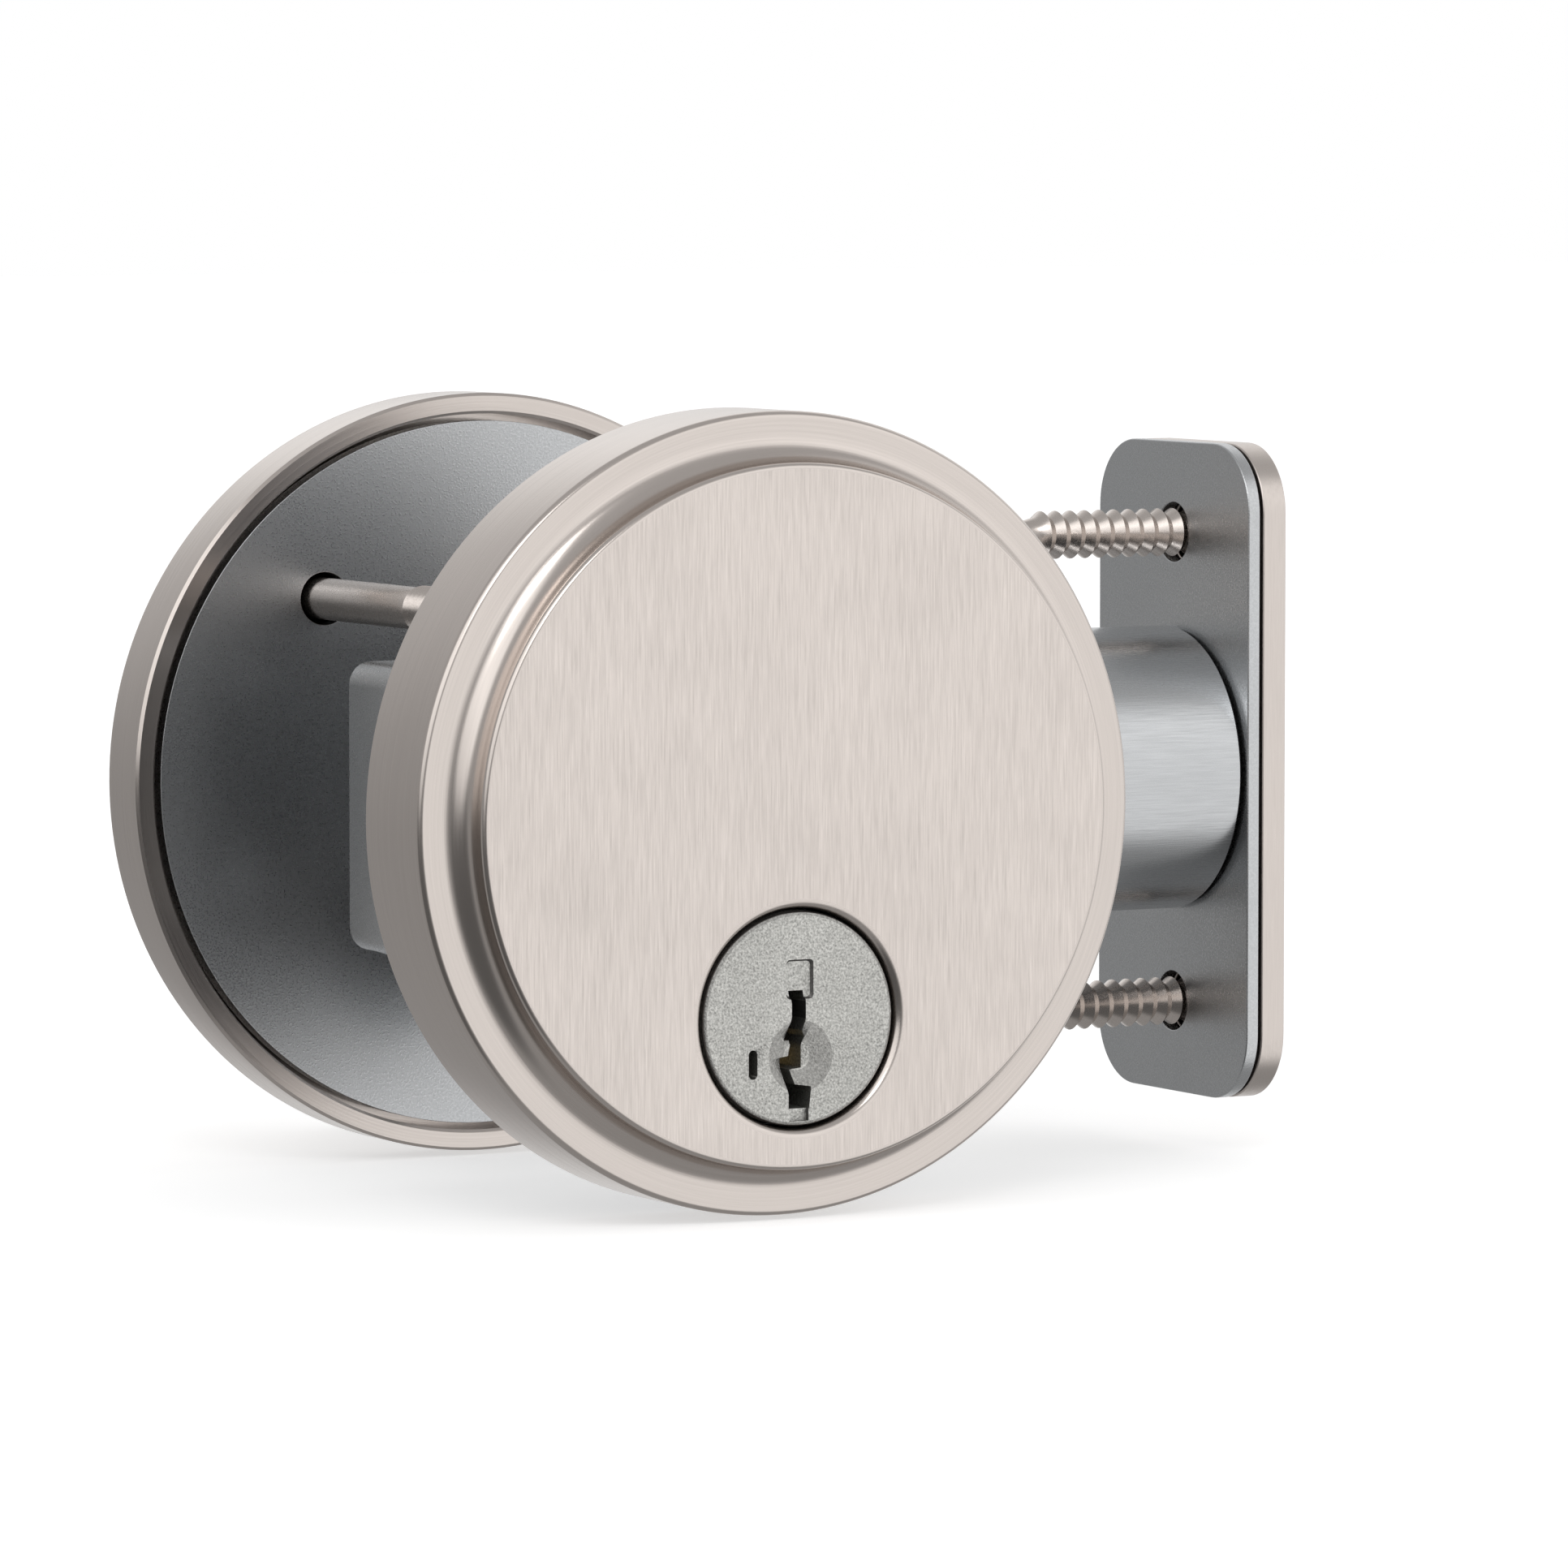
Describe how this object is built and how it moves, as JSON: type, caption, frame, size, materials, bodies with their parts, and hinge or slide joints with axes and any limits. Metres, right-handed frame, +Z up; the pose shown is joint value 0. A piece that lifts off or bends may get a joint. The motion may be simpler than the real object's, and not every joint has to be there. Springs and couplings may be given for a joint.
{
  "type": "deadbolt door lock",
  "caption": "Round single-cylinder deadbolt lock: stepped rose with a low-set key cylinder outside, thumbturn inside, and a sliding bolt that both drive through a flat blade and cam.",
  "frame": {"origin": "on the axis of the door's cross bore, in the plane of the door's outer face", "axes": "-Y points outside, +Y points inside, +X points towards the door's edge along the bolt, +Z is up"},
  "size_m": [0.0933, 0.0845, 0.066],
  "materials": {
    "satin_nickel": "warm satin nickel plate, brushed",
    "blasted_nickel": "fine blasted nickel plate",
    "cast_zinc": "die-cast zinc alloy, as cast",
    "plated_steel": "zinc-plated steel",
    "bolt_steel": "nickel-plated steel bar",
    "hardened_steel": "hardened steel, dark",
    "brass": "plain machined brass",
    "spring_wire": "bright spring steel wire"
  },
  "bodies": {
    "lock_case": {"exterior_rose": "satin_nickel", "guard_plate": "hardened_steel", "cylinder_housing": "cast_zinc", "mounting_post_left": "plated_steel", "mounting_post_right": "plated_steel", "bolt_case_outer": "plated_steel", "bolt_case_inner": "plated_steel", "case_rivet_1": "plated_steel", "case_rivet_2": "plated_steel", "case_rivet_3": "plated_steel", "case_rivet_4": "plated_steel", "bolt_tube": "plated_steel", "faceplate_backing": "plated_steel", "bolt_faceplate": "satin_nickel", "faceplate_screw_upper": "satin_nickel", "faceplate_screw_lower": "satin_nickel", "interior_rose": "satin_nickel", "interior_plate": "plated_steel", "mounting_screw_left": "satin_nickel", "mounting_screw_right": "satin_nickel"},
    "turning_train": {"torque_blade": "plated_steel", "bolt_cam": "plated_steel", "thumbturn": "satin_nickel", "thumbturn_clip": "spring_wire", "thumbturn_washer": "plated_steel"},
    "key_cylinder": {"key_plug": "blasted_nickel", "plug_clip": "spring_wire", "plug_sidebar": "brass", "wafer_spring_1": "spring_wire", "wafer_spring_2": "spring_wire", "wafer_spring_3": "spring_wire", "wafer_spring_4": "spring_wire", "wafer_spring_5": "spring_wire"},
    "sliding_bolt": {"bolt_bar": "bolt_steel", "bolt_tail": "plated_steel", "bolt_tail_pin": "hardened_steel", "roller_pin_cap": "plated_steel"},
    "roller": {"bolt_roller_pin": "hardened_steel"},
    "wafer_body_1": {"wafer_1": "brass"},
    "wafer_body_2": {"wafer_2": "brass"},
    "wafer_body_3": {"wafer_3": "brass"},
    "wafer_body_4": {"wafer_4": "brass"},
    "wafer_body_5": {"wafer_5": "brass"}
  },
  "joints": [
    {"name": "thumbturn_turn", "type": "hinge", "parent": "lock_case", "child": "turning_train", "pos_m": [0, 0.02225, -0.0165], "axis": [0, 1, 0], "range_deg": [0, 90]},
    {"name": "key_plug_turn", "type": "hinge", "parent": "lock_case", "child": "key_cylinder", "pos_m": [0, 0, -0.0165], "axis": [0, 1, 0], "range_deg": [0, 90]},
    {"name": "bolt_slide", "type": "slide", "parent": "lock_case", "child": "sliding_bolt", "axis": [1, 0, 0], "range_m": [0, 0.0254]},
    {"name": "roller_pin_spin", "type": "hinge", "parent": "sliding_bolt", "child": "roller", "pos_m": [0.04, 0.0195, 0], "axis": [1, 0, 0], "continuous": true},
    {"name": "wafer_lift_1", "type": "slide", "parent": "key_cylinder", "child": "wafer_body_1", "axis": [0, 0, 1], "range_m": [-0.002, 0], "deforming": ["wafer_spring_1"]},
    {"name": "wafer_lift_2", "type": "slide", "parent": "key_cylinder", "child": "wafer_body_2", "axis": [0, 0, 1], "range_m": [-0.0013, 0], "deforming": ["wafer_spring_2"]},
    {"name": "wafer_lift_3", "type": "slide", "parent": "key_cylinder", "child": "wafer_body_3", "axis": [0, 0, 1], "range_m": [-0.0017, 0], "deforming": ["wafer_spring_3"]},
    {"name": "wafer_lift_4", "type": "slide", "parent": "key_cylinder", "child": "wafer_body_4", "axis": [0, 0, 1], "range_m": [-0.0008, 0], "deforming": ["wafer_spring_4"]},
    {"name": "wafer_lift_5", "type": "slide", "parent": "key_cylinder", "child": "wafer_body_5", "axis": [0, 0, 1], "range_m": [-0.0015, 0], "deforming": ["wafer_spring_5"]}
  ],
  "couplings": [
    {"joint": "thumbturn_turn", "follows": "bolt_slide", "rad_per_m": 61.84},
    {"joint": "key_plug_turn", "follows": "bolt_slide", "rad_per_m": 61.84},
    {"joint": "wafer_lift_2", "follows": "wafer_lift_1", "ratio": 0.65},
    {"joint": "wafer_lift_3", "follows": "wafer_lift_1", "ratio": 0.85},
    {"joint": "wafer_lift_4", "follows": "wafer_lift_1", "ratio": 0.4},
    {"joint": "wafer_lift_5", "follows": "wafer_lift_1", "ratio": 0.75}
  ]
}
